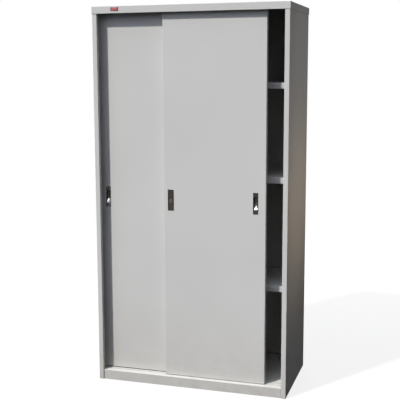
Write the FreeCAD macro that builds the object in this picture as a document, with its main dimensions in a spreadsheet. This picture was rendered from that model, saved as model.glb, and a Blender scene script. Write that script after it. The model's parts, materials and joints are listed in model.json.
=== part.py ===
import FreeCAD, Part
import math
import os
from types import SimpleNamespace

import Sketcher

# Sliding door cabinet in folded sheet steel, in millimetres.
# +X is to the right, the doors face -Y, +Z is up. The origin is on the floor, below the middle
# of the cabinet.

# ------------------------------------------------------------------ sizes

SIZES = [
    # overall
    ("overall_width", 950.0, "over the sides of the cap"),
    ("overall_depth", 492.0, "from the face of the badge to the back of the cap"),
    ("overall_height", 1830.0, "from the floor to the top of the cap"),
    ("sheet", 1.0, "steel of the cabinet"),
    ("bend_radius", 1.0, "inside radius of a fold"),
    ("panel_fit", 0.5, "gap beside a panel that slips between two others"),
    # cap
    ("cap_flange", 33.0, "height of the folded edge"),
    ("cap_overhang", 2.0, "cap beyond the side panels, posts and back"),
    ("hem_height", 6.0, "folded lower edge of the cap flange"),
    ("hem_gap", 0.2, "between the hem and the panel behind it"),
    ("badge_width", 38.0, "left to right"),
    ("badge_height", 17.5, "low to high"),
    ("badge_proud", 1.5, "thickness of the badge"),
    ("badge_inset", 98.0, "from the left end of the cap to the badge"),
    ("badge_drop", 5.3, "from the top of the cap to the badge"),
    # side panels and back
    ("post_width", 23.0, "front face of a post"),
    ("post_return", 18.0, "fold behind the front face"),
    ("post_weld_setback", 5.0, "weld between a post and its side panel, behind the front"),
    ("rear_flange", 16.0, "fold at the back of a side panel"),
    ("back_floor_gap", 2.0, "from the floor to the back panel"),
    ("back_flange", 12.0, "fold at the top of the back panel"),
    ("screw_radius", 2.0, "shank of a back screw"),
    ("screw_head_radius", 4.0, "head of a back screw"),
    ("screw_head_height", 1.5, "head of a back screw"),
    ("screw_first_height", 90.0, "lowest screw of a row"),
    ("screw_top_gap", 99.0, "from the highest screw to the cap"),
    ("screw_count", 5.0, "screws in a row"),
    # floor
    ("plinth_height", 48.0, "from the floor to the ledge"),
    ("plinth_inset", 4.0, "plinth behind the posts"),
    ("plinth_gap", 1.5, "between the plinth and a post"),
    ("stiffener_half_width", 20.0, "hollow channel below the floor"),
    ("stiffener_depth", 26.0, "from the floor sheet to the crown"),
    ("stiffener_flange", 12.0, "edge that lies on the floor sheet"),
    ("stiffener_length", 880.0, "left to right"),
    # tracks
    ("track_sheet", 1.0, "steel of both tracks"),
    ("groove_half_width", 5.0, "roller groove, from its middle to a wall"),
    ("groove_depth", 4.0, "roller groove below the top of the track"),
    ("track_flange", 7.0, "edge of the bottom track that lies on the floor"),
    ("track_end_gap", 6.0, "from the end of the bottom track to a side panel"),
    ("track_fit", 0.3, "between the bottom track and its opening in the floor"),
    ("strip_overlap", 10.0, "guide strips below the top of the doors"),
    ("header_height", 26.0, "plate behind the cap flange"),
    # doors
    ("door_width", 496.0, "one door, left to right"),
    ("door_thickness", 22.0, "one door, from its face to its back edge"),
    ("door_sheet", 1.0, "steel of the doors and their braces"),
    ("door_setback", 27.0, "front door face behind the posts"),
    ("door_gap", 4.0, "between the two doors"),
    ("door_floor_gap", 2.0, "from the bottom track to the doors"),
    ("door_top_gap", 16.0, "from the doors to the top track"),
    ("door_lip", 15.0, "folded edge at the back of a door"),
    ("front_door_opening", 103.0, "how far the front door stands from its right end stop"),
    ("brace_half_width", 25.0, "hollow channel behind a door"),
    ("brace_flange", 12.0, "edge that lies on the door sheet"),
    ("brace_depth", 14.0, "from the door sheet to the crown"),
    ("brace_end_gap", 45.0, "from the brace to the top of the door"),
    # rollers and guides
    ("carrier_sheet", 1.5, "steel of the roller carriers"),
    ("carrier_height", 34.0, "from the foot of the door"),
    ("carrier_end_gap", 0.5, "from the carrier to the sides of the door"),
    ("roller_radius", 14.0, "rim of a roller"),
    ("roller_width", 6.0, "rim of a roller"),
    ("roller_hub_radius", 4.5, "hub on each side of the rim"),
    ("roller_side_gap", 0.3, "from the hub to the carrier"),
    ("roller_track_gap", 0.05, "from the roller to the groove"),
    ("roller_inset", 60.0, "from the edge of the door to the axle"),
    ("axle_radius", 3.0, "pin through a roller"),
    ("running_gap", 0.05, "round a turning shaft"),
    ("guide_length", 40.0, "left to right"),
    ("guide_height", 10.0, "guide above the door"),
    ("guide_side_gap", 0.4, "from a guide to the strips"),
    ("guide_inset", 30.0, "from the edge of the door to the guide"),
    ("bumper_thickness", 3.5, "rubber on the side panel"),
    ("bumper_gap", 0.5, "from a bumper to the door"),
    ("bumper_width", 12.0, "front to back"),
    ("bumper_height", 60.0, "low to high"),
    ("bumper_first_height", 300.0, "foot of the lower bumper"),
    ("bumper_pitch", 1200.0, "from the lower bumper to the upper one"),
    # finger pulls
    ("handle_height", 919.0, "middle of the pulls and of the lock plate"),
    ("plate_height", 101.0, "pulls and lock plate"),
    ("plate_proud", 0.8, "plates in front of the doors"),
    ("plate_corner", 2.0, "corner radius of the plates"),
    ("pull_width", 25.0, "plate of a finger pull"),
    ("pull_wall", 1.0, "sheet of the cup behind the plate"),
    ("pull_fit", 0.3, "round the cup in its opening"),
    ("recess_width", 17.0, "mouth of a finger pull"),
    ("recess_height", 62.0, "mouth of a finger pull"),
    ("recess_depth", 14.0, "from the face of the plate to the bottom of the cup"),
    ("recess_slope", 25.0, "height of the sloping lower end"),
    ("front_pull_inset", 48.0, "from the right edge of the front door"),
    ("rear_pull_inset", 40.0, "from the left edge of the rear door"),
    # lock
    ("lock_plate_width", 30.0, "plate round the lock"),
    ("lock_inset", 34.5, "from the left edge of the front door to the lock"),
    ("lock_drop", 3.0, "lock below the middle of its plate"),
    ("lock_face_radius", 8.0, "collar in the lock plate"),
    ("lock_face_proud", 1.4, "in front of the door"),
    ("lock_flange_radius", 12.0, "flange behind the door sheet"),
    ("lock_flange_thickness", 2.0, "flange behind the door sheet"),
    ("lock_barrel_radius", 9.0, "housing behind the flange"),
    ("lock_barrel_depth", 19.0, "behind the face of the door"),
    ("cylinder_radius", 6.0, "turning plug"),
    ("cylinder_proud", 1.8, "in front of the door"),
    ("spindle_radius", 3.0, "end of the plug that carries the cam"),
    ("key_slot_width", 1.4, "left to right"),
    ("key_slot_height", 7.0, "low to high"),
    ("key_slot_depth", 8.0, "from the face of the plug"),
    ("cam_gap", 0.4, "from the back of the door to the cam"),
    ("cam_thickness", 1.5, "steel of the cam"),
    ("cam_half_width", 5.0, "arm, from its middle to an edge"),
    ("cam_tail", 6.0, "below the spindle"),
    ("cam_length", 22.0, "from the spindle to the tip"),
    ("cam_hook_reach", 16.0, "hook beside the spindle"),
    ("cam_hook_width", 6.0, "hook, low to high"),
    ("nut_radius", 5.0, "nut behind the cam"),
    ("nut_thickness", 0.8, "nut behind the cam"),
    ("keeper_gap", 0.8, "between the turned hook and the keeper"),
    ("keeper_top", 8.0, "keeper below the spindle"),
    ("keeper_height", 9.0, "low to high"),
    ("keeper_foot", 14.0, "foot on the rear door, left to right"),
    ("keeper_sheet", 0.8, "foot on the rear door"),
    ("keeper_tab", 1.5, "thickness of the upstand"),
    ("keeper_reach", 3.2, "upstand in front of the rear door"),
    # shelves
    ("shelf_setback", 108.0, "shelf edge behind the posts"),
    ("shelf_back_gap", 5.0, "from a shelf to the back panel"),
    ("shelf_end_gap", 2.0, "from a shelf to an upright"),
    ("shelf_lip", 28.0, "folded edge of a shelf"),
    ("shelf_return", 12.0, "second fold below the lip"),
    ("upright_width", 22.0, "front to back"),
    ("upright_depth", 12.0, "from the side panel to the face of the upright"),
    ("upright_inset", 14.0, "from the end of a shelf to an upright"),
    ("upright_top_gap", 40.0, "from an upright to the cap"),
    ("slot_width", 10.0, "front to back"),
    ("slot_height", 8.0, "low to high"),
    ("slot_first_height", 65.0, "top of the lowest slot"),
    ("slot_pitch", 20.0, "from one slot to the next"),
    ("slot_count", 85.0, "slots in an upright"),
    ("clip_sheet", 1.2, "steel of a clip"),
    ("clip_side_gap", 0.3, "from a clip to the edge of its slot"),
    ("clip_reach", 14.0, "ledge below the shelf"),
    ("clip_rise", 6.0, "clip above the ledge"),
    ("clip_fall", 18.0, "clip below the ledge"),
    ("clip_tongue_drop", 1.0, "tongue below the top of its slot"),
    ("clip_tongue", 2.0, "thickness of the tongue"),
    ("clip_hook_gap", 0.2, "from the hook to the upright"),
    ("clip_hook_fall", 3.0, "hook below the tongue"),
    ("top_shelf_height", 1473.0, "top of the shelf, which hangs in the nearest slots"),
    ("middle_shelf_height", 1033.0, "the same for the middle shelf"),
    ("bottom_shelf_height", 513.0, "the same for the bottom shelf"),
]

doc = FreeCAD.newDocument("SlidingDoorCabinet")
sheet = doc.addObject("Spreadsheet::Sheet", "Dims")
for row, (alias, number, note) in enumerate(SIZES, start=1):
    sheet.set(f"A{row}", alias)
    sheet.set(f"B{row}", str(number))
    sheet.set(f"C{row}", note)
    sheet.setAlias(f"B{row}", alias)
doc.recompute()


class Size:
    """A length worked out from the sheet: the formula that binds it, and its value now."""

    def __init__(self, formula, number):
        self.formula = formula
        self.number = number

    def __add__(self, other):
        other = as_size(other)
        return Size(f"({self.formula} + {other.formula})", self.number + other.number)

    def __sub__(self, other):
        other = as_size(other)
        return Size(f"({self.formula} - {other.formula})", self.number - other.number)

    def __mul__(self, other):
        other = as_size(other)
        return Size(f"({self.formula} * {other.formula})", self.number * other.number)

    def __truediv__(self, other):
        other = as_size(other)
        return Size(f"({self.formula} / {other.formula})", self.number / other.number)

    def __neg__(self):
        return self * -1


def as_size(value):
    """The value itself if it is a Size, or a plain number as one."""
    if isinstance(value, Size):
        return value
    return Size(f"({float(value)})", float(value))


d = SimpleNamespace(**{alias: Size(f"Dims.{alias}", number) for alias, number, note in SIZES})
ZERO = as_size(0)


def whole(size):
    """The nearest whole number."""
    return Size(f"floor({size.formula} + 0.5)", math.floor(size.number + 0.5))


def smaller(one, other):
    """The smaller of two lengths."""
    return Size(f"min({one.formula}; {other.formula})", min(one.number, other.number))


# ------------------------------------------------------------------ places

cap_x = d.overall_width / 2
cap_front = d.badge_proud - d.overall_depth / 2
cap_back = d.overall_depth / 2
cap_bottom = d.overall_height - d.cap_flange
under_cap = d.overall_height - d.sheet

side_x = cap_x - d.cap_overhang                  # outside of a side panel
inner_x = side_x - d.sheet                       # inside of a side panel
post_x = side_x - d.post_width                   # edge of the door opening
front = cap_front + d.cap_overhang               # face of the posts
back = cap_back - d.cap_overhang
back_panel_front = back - d.sheet * 2
screw_pitch = (under_cap - d.screw_top_gap - d.screw_first_height) / (d.screw_count - 1)

plinth_front = front + d.plinth_inset
ledge = d.plinth_height
track_top = ledge + d.track_sheet
groove_floor = track_top - d.groove_depth
track_x = inner_x - d.track_end_gap

door_face = front + d.door_setback               # front door; the rear one lies a pitch behind
lane_pitch = d.door_thickness + d.door_gap
front_lane = door_face + d.door_thickness / 2    # middle of the front door's thickness
rear_lane = front_lane + lane_pitch
lane_half = (lane_pitch - d.track_sheet) / 2     # from the middle of a lane to a strip
door_bottom = track_top + d.door_floor_gap
door_top = under_cap - d.track_sheet - d.door_top_gap
stop_x = inner_x - d.bumper_thickness - d.bumper_gap
carrier_top = door_bottom + d.carrier_height
axle_height = groove_floor + d.roller_track_gap + d.roller_radius

shelf_front = front + d.shelf_setback
shelf_back = back_panel_front - d.shelf_back_gap
upright_face = inner_x - d.upright_depth
shelf_x = upright_face - d.shelf_end_gap
front_upright = shelf_front + d.upright_inset
rear_upright = shelf_back - d.upright_inset - d.upright_width
lock_height = d.handle_height - d.lock_drop

# Each door: its left edge, its front face and the middle of its lane.
FRONT_DOOR = SimpleNamespace(
    name="front_door", left=stop_x - d.front_door_opening - d.door_width, face=door_face, lane=front_lane
)
REAR_DOOR = SimpleNamespace(name="rear_door", left=-stop_x, face=door_face + lane_pitch, lane=rear_lane)
lock_x = FRONT_DOOR.left + d.lock_inset
closed_lock_x = stop_x - d.door_width + d.lock_inset

# ------------------------------------------------------------------ tools

PIECES = []
NORMAL = {"XY_Plane": 1, "YZ_Plane": 1, "XZ_Plane": -1}
SAME_PLACE = 0.001


def new_piece(label):
    """An empty body that becomes one node."""
    piece = doc.addObject("PartDesign::Body", label)
    piece.Label = label
    PIECES.append(piece)
    return piece


def origin_part(piece, role):
    """One of the body's own origin planes or axes."""
    return next(item for item in piece.Origin.OriginFeatures if item.Role == role)


def bind(item, target, size):
    """Ties a property to the sheet."""
    item.setExpression(target, as_size(size).formula)


def rectangle(left, right, low, high):
    """Corners of an upright rectangle."""
    return [(left, low), (right, low), (right, high), (left, high)]


def circle(across, up, radius):
    """A round outline, as its centre and radius."""
    return (across, up, radius)


def draw_corners(drawing, corners):
    """Adds a closed outline of straight lines, with every corner bound to the sheet."""
    corners = [(as_size(across), as_size(up)) for across, up in corners]
    points = [FreeCAD.Vector(across.number, up.number) for across, up in corners]
    following = points[1:] + points[:1]
    lines = drawing.addGeometry([Part.LineSegment(here, there) for here, there in zip(points, following)])
    for line, after in zip(lines, lines[1:] + lines[:1]):
        drawing.addConstraint(Sketcher.Constraint("Coincident", line, 2, after, 1))
    for line, (across, up) in zip(lines, corners):
        for direction, place in (("DistanceX", across), ("DistanceY", up)):
            rule = drawing.addConstraint(Sketcher.Constraint(direction, -1, 1, line, 1, place.number))
            bind(drawing, f"Constraints[{rule}]", place)


def draw_circle(drawing, across, up, radius):
    """Adds a circle, with its centre and radius bound to the sheet."""
    across, up, radius = as_size(across), as_size(up), as_size(radius)
    centre = FreeCAD.Vector(across.number, up.number)
    ring = drawing.addGeometry(Part.Circle(centre, FreeCAD.Vector(0, 0, 1), radius.number))
    for rule, place in (
        (Sketcher.Constraint("DistanceX", -1, 1, ring, 3, across.number), across),
        (Sketcher.Constraint("DistanceY", -1, 1, ring, 3, up.number), up),
        (Sketcher.Constraint("Radius", ring, radius.number), radius),
    ):
        bind(drawing, f"Constraints[{drawing.addConstraint(rule)}]", place)


def draw(piece, role, start, outlines):
    """A sketch parallel to an origin plane, `start` along the plane's own axis."""
    drawing = piece.newObject("Sketcher::SketchObject", "Sketch")
    drawing.AttachmentSupport = [(origin_part(piece, role), "")]
    drawing.MapMode = "FlatFace"
    bind(drawing, "AttachmentOffset.Base.z", as_size(start) * NORMAL[role])
    for outline in outlines:
        if isinstance(outline, tuple):
            draw_circle(drawing, *outline)
        else:
            draw_corners(drawing, outline)
    return drawing


def prism(piece, role, start, end, *outlines, cut=False):
    """Adds or cuts the outlines' shape from `start` to `end` along the plane's own axis."""
    drawing = draw(piece, role, start, outlines)
    feature = piece.newObject("PartDesign::Pocket" if cut else "PartDesign::Pad", "Cut" if cut else "Pad")
    feature.Profile = drawing
    bind(feature, "Length", as_size(end) - start)
    # a pad follows the plane's normal and a pocket goes against it
    feature.Reversed = (NORMAL[role] < 0) != cut
    return feature


def block(piece, left, right, near, far, low, high, cut=False):
    """Adds or cuts a box."""
    return prism(piece, "XY_Plane", low, high, rectangle(left, right, near, far), cut=cut)


def row_of(piece, feature, role, pitch, count):
    """Repeats a feature along one of the body's axes."""
    pattern = piece.newObject("PartDesign::LinearPattern", "Row")
    pattern.Originals = [feature]
    pattern.Direction = (origin_part(piece, role), [""])
    bind(pattern, "Length", pitch * (as_size(count) - 1))
    bind(pattern, "Occurrences", count)
    piece.Tip = pattern
    return pattern


def turned(piece, profile, across, depth, up):
    """Turns a profile of (y, radius) corners about a line along Y, and places it."""
    feature = piece.newObject("PartDesign::Revolution", "Turned")
    drawing = draw(piece, "YZ_Plane", ZERO, [profile])
    feature.Profile = drawing
    feature.ReferenceAxis = (drawing, ["H_Axis"])
    feature.Angle = 360
    for axis, place in (("x", across), ("y", depth), ("z", up)):
        bind(piece, f"Placement.Base.{axis}", place)
    return feature


def round_edges(piece, radius, axis, *places):
    """Rounds the straight edges along an axis that stand at the given pairs of other coordinates."""
    doc.recompute()
    others = [index for index, name in enumerate("xyz") if name != axis]
    wanted = [(place[0].number, place[1].number) for place in places]
    chosen = []
    for number, edge in enumerate(piece.Tip.Shape.Edges, start=1):
        ends = [[vertex.Point[index] for index in others] for vertex in edge.Vertexes]
        straight = len(ends) == 2 and math.dist(*ends) < SAME_PLACE
        if straight and any(math.dist(ends[0], place) < SAME_PLACE for place in wanted):
            chosen.append(f"Edge{number}")
    base = piece.Tip
    fillet = piece.newObject("PartDesign::Fillet", "Fold")
    fillet.Base = (base, chosen)
    bind(fillet, "Radius", radius)


def hat(centre, foot, half_width, flange, depth, thickness, way=1):
    """Outline of a hat-shaped channel whose flanges lie on `foot` and whose crown is `depth` away."""
    crown, inside, rim = foot + depth * way, foot + (depth - thickness) * way, foot + thickness * way
    left, right = centre - half_width, centre + half_width
    return [
        (left - flange, foot), (left + thickness, foot), (left + thickness, inside),
        (right - thickness, inside), (right - thickness, foot), (right + flange, foot),
        (right + flange, rim), (right, rim), (right, crown), (left, crown), (left, rim), (left - flange, rim),
    ]


# ------------------------------------------------------------------ cabinet

def side_panel(label, side):
    """One sheet from the weld behind the post to a flange at the back."""
    piece = new_piece(label)
    outer, inner, weld = side_x * side, inner_x * side, front + d.post_weld_setback
    flange_edge = (side_x - d.rear_flange) * side
    prism(piece, "XY_Plane", ZERO, under_cap, [
        (outer, weld), (outer, back), (flange_edge, back), (flange_edge, back - d.sheet),
        (inner, back - d.sheet), (inner, weld),
    ])
    round_edges(piece, d.bend_radius + d.sheet, "z", (outer, back))
    round_edges(piece, d.bend_radius, "z", (inner, back - d.sheet))
    screw_holes(piece, side, back - d.sheet, back)


def front_post(label, side):
    """Channel folded round the front corner, butt welded to the side panel."""
    piece = new_piece(label)
    outer, inner, post = side_x * side, inner_x * side, post_x * side
    post_inside, weld = (post_x + d.sheet) * side, front + d.post_weld_setback
    prism(piece, "XY_Plane", ZERO, under_cap, [
        (outer, front), (outer, weld), (inner, weld), (inner, front + d.sheet),
        (post_inside, front + d.sheet), (post_inside, front + d.post_return),
        (post, front + d.post_return), (post, front),
    ])
    round_edges(piece, d.bend_radius + d.sheet, "z", (outer, front), (post, front))
    round_edges(piece, d.bend_radius, "z", (inner, front + d.sheet), (post_inside, front + d.sheet))


def screw_holes(piece, side, near, far):
    """A row of holes for the back screws."""
    hole = circle(screw_line(side), d.screw_first_height, d.screw_radius)
    row_of(piece, prism(piece, "XZ_Plane", near, far, hole, cut=True), "Z_Axis", screw_pitch, d.screw_count)


def screw_line(side):
    """X of the back screws: the middle of the rear flange."""
    return (side_x - d.rear_flange / 2) * side


def back_panel():
    """Flat sheet inside the rear flanges, with a fold under the cap."""
    piece = new_piece("back_panel")
    edge = inner_x - d.bend_radius - d.panel_fit
    rear = back - d.sheet
    prism(piece, "YZ_Plane", -edge, edge, [
        (rear, d.back_floor_gap), (rear, under_cap), (back_panel_front - d.back_flange, under_cap),
        (back_panel_front - d.back_flange, under_cap - d.sheet), (back_panel_front, under_cap - d.sheet),
        (back_panel_front, d.back_floor_gap),
    ])
    for side in (-1, 1):
        screw_holes(piece, side, back_panel_front, rear)


def back_screws():
    """Two rows of pan-head screws through the rear flanges."""
    piece = new_piece("back_screws")
    shanks = [circle(screw_line(side), d.screw_first_height, d.screw_radius) for side in (-1, 1)]
    heads = [circle(screw_line(side), d.screw_first_height, d.screw_head_radius) for side in (-1, 1)]
    shank = prism(piece, "XZ_Plane", back_panel_front, back, *shanks)
    head = prism(piece, "XZ_Plane", back, back + d.screw_head_height, *heads)
    pattern = row_of(piece, shank, "Z_Axis", screw_pitch, d.screw_count)
    pattern.Originals = [shank, head]


def top_cap():
    """Shallow tray that sits over the panels, with a hem round its lower edge."""
    piece = new_piece("top_cap")
    block(piece, -cap_x, cap_x, cap_front, cap_back, cap_bottom, d.overall_height)
    inside = (-cap_x + d.sheet, cap_x - d.sheet, cap_front + d.sheet, cap_back - d.sheet)
    block(piece, *inside, cap_bottom, under_cap, cut=True)
    edge = side_x + d.hem_gap
    prism(piece, "XY_Plane", cap_bottom, cap_bottom + d.hem_height,
          rectangle(*inside), rectangle(-edge, edge, front - d.hem_gap, back + d.hem_gap))
    radius = d.bend_radius + d.sheet
    corners = [(x, y) for x in (-cap_x, cap_x) for y in (cap_front, cap_back)]
    round_edges(piece, radius, "z", *corners)
    round_edges(piece, radius, "x", (cap_front, d.overall_height), (cap_back, d.overall_height))


def badge():
    """Plain raised plate on the cap."""
    piece = new_piece("badge")
    left = -cap_x + d.badge_inset
    top = d.overall_height - d.badge_drop
    right, low = left + d.badge_width, top - d.badge_height
    block(piece, left, right, cap_front - d.badge_proud, cap_front, low, top)
    round_edges(piece, d.plate_corner, "y", (left, low), (left, top), (right, low), (right, top))


def front_header():
    """Angle behind the cap flange, between the posts."""
    piece = new_piece("front_header")
    reach = front_lane - lane_half - d.track_sheet
    low = under_cap - d.header_height
    prism(piece, "YZ_Plane", -post_x + d.panel_fit, post_x - d.panel_fit, [
        (plinth_front, low), (plinth_front, under_cap), (reach, under_cap), (reach, under_cap - d.sheet),
        (plinth_front + d.sheet, under_cap - d.sheet), (plinth_front + d.sheet, low),
    ])


def top_track():
    """Plate below the cap that carries the guide strips."""
    piece = new_piece("top_track")
    near = front_lane - lane_half - d.track_sheet
    far = rear_lane + lane_half + d.track_sheet
    block(piece, -inner_x + d.panel_fit, inner_x - d.panel_fit, near, far,
          under_cap - d.track_sheet, under_cap)


def guide_strip(label, near):
    """Strip on edge below the top track, beside a lane. It keeps the top of a door upright."""
    piece = new_piece(label)
    block(piece, -inner_x + d.panel_fit, inner_x - d.panel_fit, near, near + d.track_sheet,
          door_top - d.strip_overlap, under_cap - d.track_sheet)


def base_tray():
    """Cabinet floor with its plinth and side folds, and the opening for the bottom track."""
    piece = new_piece("base_tray")
    narrow = post_x - d.plinth_gap
    wide = inner_x - d.panel_fit
    step = front + d.post_return + d.panel_fit

    def plan(inset):
        return [
            (-narrow + inset, plinth_front + inset), (narrow - inset, plinth_front + inset),
            (narrow - inset, step + inset), (wide - inset, step + inset),
            (wide - inset, back_panel_front - inset), (-wide + inset, back_panel_front - inset),
            (-wide + inset, step + inset), (-narrow + inset, step + inset),
        ]

    prism(piece, "XY_Plane", ZERO, ledge, plan(ZERO))
    prism(piece, "XY_Plane", ZERO, ledge - d.sheet, plan(d.sheet), cut=True)
    near = front_lane - d.groove_half_width - d.track_sheet - d.track_fit
    far = rear_lane + d.groove_half_width + d.track_sheet + d.track_fit
    opening_x = track_x + d.track_fit
    block(piece, -opening_x, opening_x, near, far, ledge - d.sheet, ledge, cut=True)
    round_edges(piece, d.bend_radius + d.sheet, "x", (plinth_front, ledge))
    round_edges(piece, d.bend_radius, "x", (plinth_front + d.sheet, ledge - d.sheet))


def floor_stiffener():
    """Channel below the floor."""
    piece = new_piece("floor_stiffener")
    middle = (rear_lane + back) / 2
    outline = hat(middle, ledge - d.sheet, d.stiffener_half_width, d.stiffener_flange, d.stiffener_depth,
                  d.sheet, way=-1)
    prism(piece, "YZ_Plane", -d.stiffener_length / 2, d.stiffener_length / 2, outline)


def bottom_track():
    """Folded strip with one groove for the rollers of each door."""
    piece = new_piece("bottom_track")
    skin, groove = d.track_sheet, d.groove_half_width
    near, far = front_lane - groove, rear_lane + groove
    front_far, rear_near = front_lane + groove, rear_lane - groove
    above = [
        (near - d.track_flange, track_top), (near, track_top), (near, groove_floor),
        (front_far, groove_floor), (front_far, track_top), (rear_near, track_top),
        (rear_near, groove_floor), (far, groove_floor), (far, track_top), (far + d.track_flange, track_top),
    ]
    low, under = groove_floor - skin, track_top - skin
    below = [
        (far + d.track_flange, under), (far + skin, under), (far + skin, low), (rear_near - skin, low),
        (rear_near - skin, under), (front_far + skin, under), (front_far + skin, low), (near - skin, low),
        (near - skin, under), (near - d.track_flange, under),
    ]
    prism(piece, "YZ_Plane", -track_x, track_x, above + below)


def bumpers(label, side):
    """Rubber blocks that stop the doors, one low and one high in each lane."""
    piece = new_piece(label)
    faces = ((inner_x - d.bumper_thickness) * side, inner_x * side)
    near, far = sorted(faces, key=lambda size: size.number)
    outlines = [
        rectangle(near, far, lane - d.bumper_width / 2, lane + d.bumper_width / 2)
        for lane in (front_lane, rear_lane)
    ]
    top = d.bumper_first_height + d.bumper_height
    pad = prism(piece, "XY_Plane", d.bumper_first_height, top, *outlines)
    row_of(piece, pad, "Z_Axis", d.bumper_pitch, 2)


# ------------------------------------------------------------------ shelves

def upright(label, side, near):
    """Slotted channel on a side panel."""
    piece = new_piece(label)
    far = near + d.upright_width
    wall, face, web = inner_x * side, upright_face * side, (upright_face + d.sheet) * side
    prism(piece, "XY_Plane", ledge, under_cap - d.upright_top_gap, [
        (wall, near), (face, near), (face, far), (wall, far),
        (wall, far - d.sheet), (web, far - d.sheet), (web, near + d.sheet), (wall, near + d.sheet),
    ])
    middle = near + d.upright_width / 2
    low, high = sorted((face, web), key=lambda size: size.number)
    slot = prism(piece, "YZ_Plane", low, high, rectangle(
        middle - d.slot_width / 2, middle + d.slot_width / 2, d.slot_first_height - d.slot_height,
        d.slot_first_height), cut=True)
    row_of(piece, slot, "Z_Axis", d.slot_pitch, d.slot_count)


def clip_height(shelf_height):
    """Height at which the clips carry a shelf: the top of the slots nearest to the wanted place."""
    slots_up = whole((shelf_height - d.shelf_lip - d.slot_first_height) / d.slot_pitch)
    return d.slot_first_height + d.slot_pitch * slots_up


def shelf(label, shelf_height):
    """Shelf with folded edges, the front and back ones folded twice."""
    piece = new_piece(label)
    low = clip_height(shelf_height)
    top = low + d.shelf_lip
    block(piece, -shelf_x, shelf_x, shelf_front, shelf_back, low, top)
    block(piece, -shelf_x + d.sheet, shelf_x - d.sheet, shelf_front + d.sheet, shelf_back - d.sheet,
          low, top - d.sheet, cut=True)
    prism(piece, "XY_Plane", low, low + d.sheet,
          rectangle(-shelf_x, shelf_x, shelf_front, shelf_front + d.shelf_return),
          rectangle(-shelf_x, shelf_x, shelf_back - d.shelf_return, shelf_back))
    round_edges(piece, d.bend_radius + d.sheet, "x", (shelf_front, top), (shelf_front, low))


def shelf_clips(label, shelf_height):
    """Four clips that hook into the uprights and carry a shelf."""
    piece = new_piece(label)
    level = clip_height(shelf_height)
    tongue_top = level - d.clip_tongue_drop
    tongue_low = tongue_top - d.clip_tongue
    plate = upright_face - d.clip_sheet
    hook_near = upright_face + d.sheet + d.clip_hook_gap
    hook_far = hook_near + d.clip_sheet
    corners = [
        (plate - d.clip_reach, level), (plate, level), (plate, level + d.clip_rise),
        (upright_face, level + d.clip_rise), (upright_face, tongue_top), (hook_far, tongue_top),
        (hook_far, tongue_low - d.clip_hook_fall), (hook_near, tongue_low - d.clip_hook_fall),
        (hook_near, tongue_low), (upright_face, tongue_low), (upright_face, level - d.clip_fall),
        (plate, level - d.clip_fall), (plate, level - d.clip_sheet),
        (plate - d.clip_reach, level - d.clip_sheet),
    ]
    mirrored = [(-across, up) for across, up in corners]
    near = front_upright + d.upright_width / 2 - d.slot_width / 2 + d.clip_side_gap
    pad = prism(piece, "XZ_Plane", near, near + d.slot_width - d.clip_side_gap * 2, corners, mirrored)
    row_of(piece, pad, "Y_Axis", rear_upright - front_upright, 2)


# ------------------------------------------------------------------ doors

def door(place, pull_x, lock=False):
    """Folded pan, open behind, with the openings for its pull and lock."""
    piece = new_piece(place.name)
    left, right = place.left, place.left + d.door_width
    face, rear = place.face, place.face + d.door_thickness
    skin, lip = d.door_sheet, d.door_lip
    block(piece, left, right, face, rear, door_bottom, door_top)
    block(piece, left + skin, right - skin, face + skin, rear, door_bottom, door_top - skin, cut=True)
    prism(piece, "XZ_Plane", rear - skin, rear, [
        (left, door_bottom), (left + lip, door_bottom), (left + lip, door_top - lip),
        (right - lip, door_top - lip), (right - lip, door_bottom), (right, door_bottom),
        (right, door_top), (left, door_top),
    ])
    round_edges(piece, d.bend_radius + skin, "z", (left, face), (right, face))
    round_edges(piece, d.bend_radius, "z", (left + skin, face + skin), (right - skin, face + skin))
    reach = d.recess_width / 2 + d.pull_wall + d.pull_fit
    rise = d.recess_height / 2 + d.pull_wall + d.pull_fit
    openings = [rectangle(pull_x - reach, pull_x + reach, d.handle_height - rise, d.handle_height + rise)]
    if lock:
        openings.append(circle(lock_x, lock_height, d.lock_face_radius + d.running_gap))
    prism(piece, "XZ_Plane", face, face + skin, *openings, cut=True)


def brace(place):
    """Upright channel behind the middle of a door."""
    piece = new_piece(f"{place.name}_brace")
    outline = hat(place.left + d.door_width / 2, place.face + d.door_sheet, d.brace_half_width,
                  d.brace_flange, d.brace_depth, d.door_sheet)
    prism(piece, "XY_Plane", carrier_top + d.panel_fit, door_top - d.brace_end_gap, outline)


def roller_x(place):
    """X of the two rollers of a door."""
    return (place.left + d.roller_inset, place.left + d.door_width - d.roller_inset)


def roller_carrier(place):
    """Channel across the foot of a door that holds its axles."""
    piece = new_piece(f"{place.name}_roller_carrier")
    near = place.face + d.door_sheet
    far = place.face + d.door_thickness - d.door_sheet
    ends = d.door_sheet + d.bend_radius + d.carrier_end_gap
    prism(piece, "YZ_Plane", place.left + ends, place.left + d.door_width - ends, [
        (near, door_bottom), (near, carrier_top), (far, carrier_top), (far, door_bottom),
        (far - d.carrier_sheet, door_bottom), (far - d.carrier_sheet, carrier_top - d.carrier_sheet),
        (near + d.carrier_sheet, carrier_top - d.carrier_sheet), (near + d.carrier_sheet, door_bottom),
    ])
    holes = [circle(across, axle_height, d.axle_radius) for across in roller_x(place)]
    prism(piece, "XZ_Plane", near, far, *holes, cut=True)


def axles(place):
    """Two pins across the roller carrier."""
    piece = new_piece(f"{place.name}_axles")
    pins = [circle(across, axle_height, d.axle_radius) for across in roller_x(place)]
    near = place.face + d.door_sheet
    prism(piece, "XZ_Plane", near, place.face + d.door_thickness - d.door_sheet, *pins)


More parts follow.
